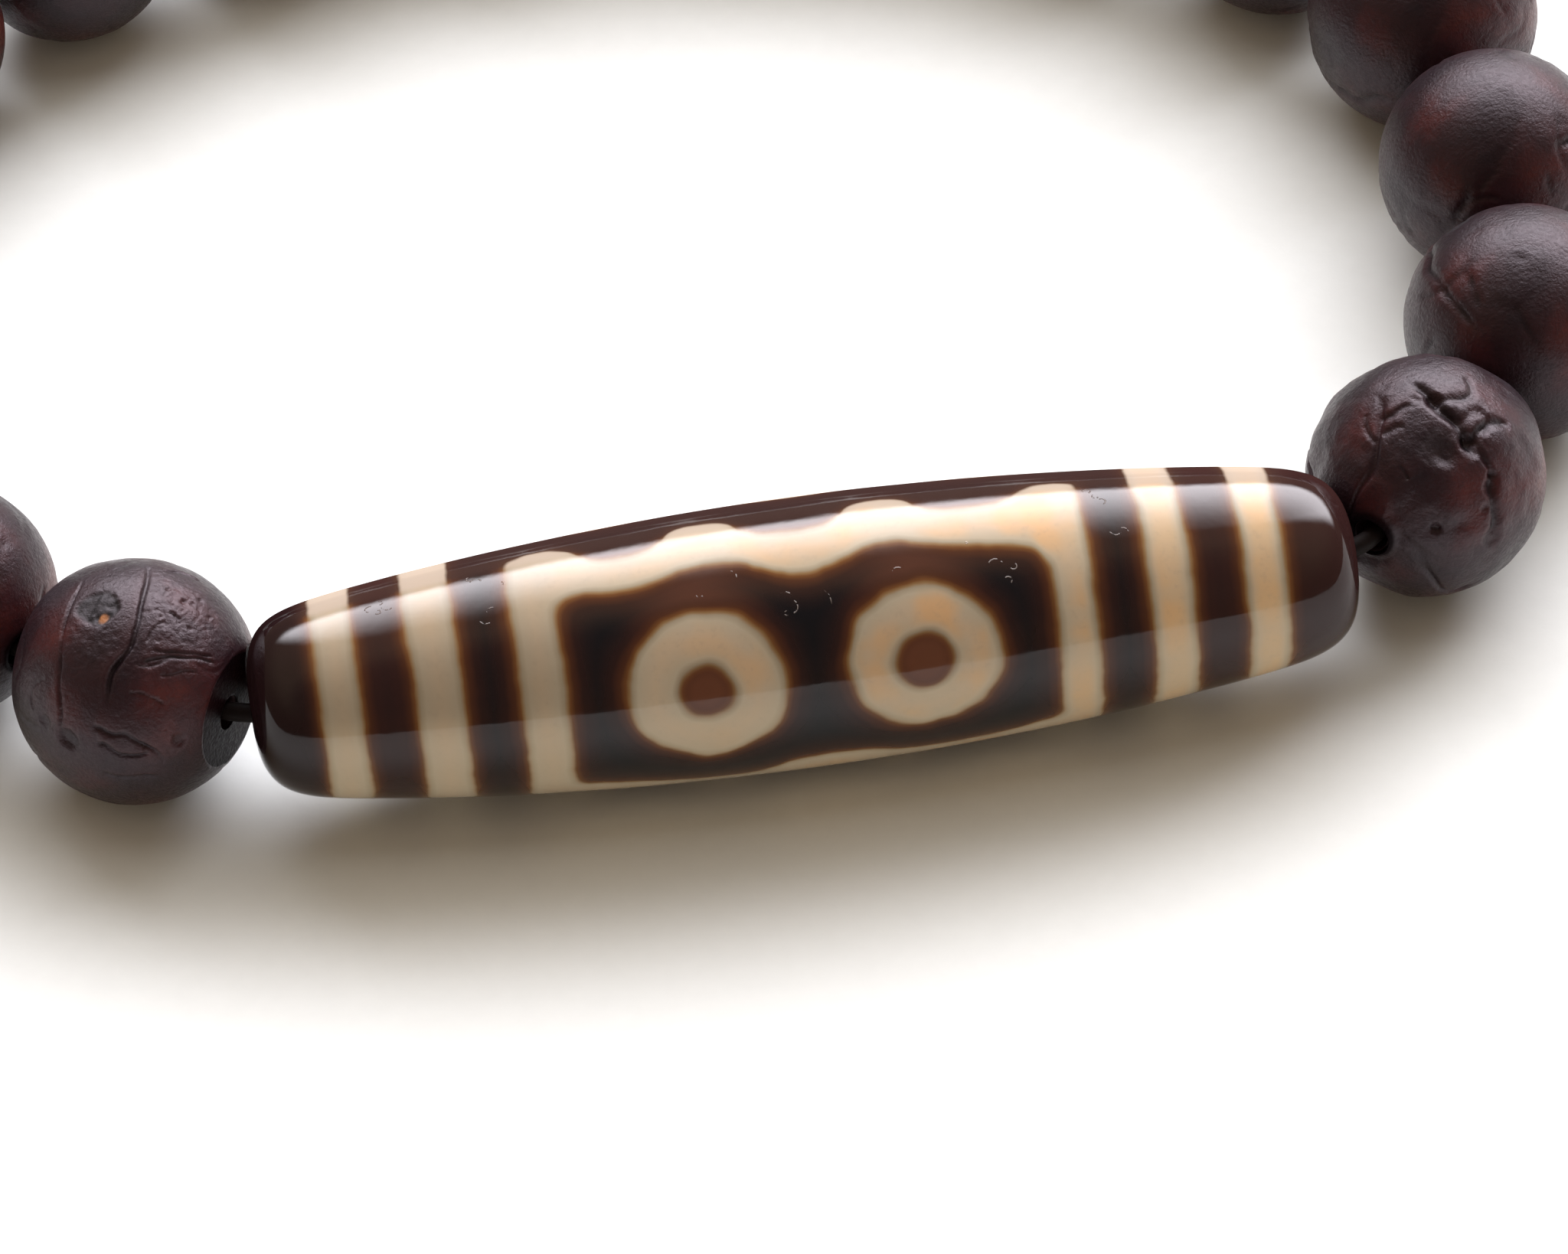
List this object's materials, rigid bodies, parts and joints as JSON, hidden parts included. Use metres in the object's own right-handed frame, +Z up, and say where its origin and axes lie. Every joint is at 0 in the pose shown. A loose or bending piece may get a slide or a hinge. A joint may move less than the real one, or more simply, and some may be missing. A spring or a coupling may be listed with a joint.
{
  "type": "dzi bead bracelet",
  "caption": "Stretch bracelet of round dark bodhi seeds with one long barrel-shaped dzi agate bead, lying as an open loop.",
  "frame": {"origin": "on the surface that the bracelet lies on, under the middle of its box", "axes": "+X along the long bead, +Y from the long bead across the loop to the far seeds, +Z up"},
  "size_m": [0.0854, 0.0654, 0.011],
  "materials": {
    "agate": "polished to a glassy gloss, dark brown with a cream etched pattern",
    "bodhi_seed": "dark red-brown handled patina, semi-gloss, pitted and wrinkled",
    "elastic": "satin dark brown stretch cord"
  },
  "bodies": {
    "root": {"dzi_bead": "agate", "bodhi_seed_01": "bodhi_seed", "bodhi_seed_02": "bodhi_seed", "bodhi_seed_03": "bodhi_seed", "bodhi_seed_04": "bodhi_seed", "bodhi_seed_05": "bodhi_seed", "bodhi_seed_06": "bodhi_seed", "bodhi_seed_07": "bodhi_seed", "bodhi_seed_08": "bodhi_seed", "bodhi_seed_09": "bodhi_seed", "bodhi_seed_10": "bodhi_seed", "bodhi_seed_11": "bodhi_seed", "bodhi_seed_12": "bodhi_seed", "bodhi_seed_13": "bodhi_seed", "bodhi_seed_14": "bodhi_seed", "bodhi_seed_15": "bodhi_seed", "bodhi_seed_16": "bodhi_seed", "bodhi_seed_17": "bodhi_seed", "elastic_cord": "elastic"}
  },
  "joints": []
}
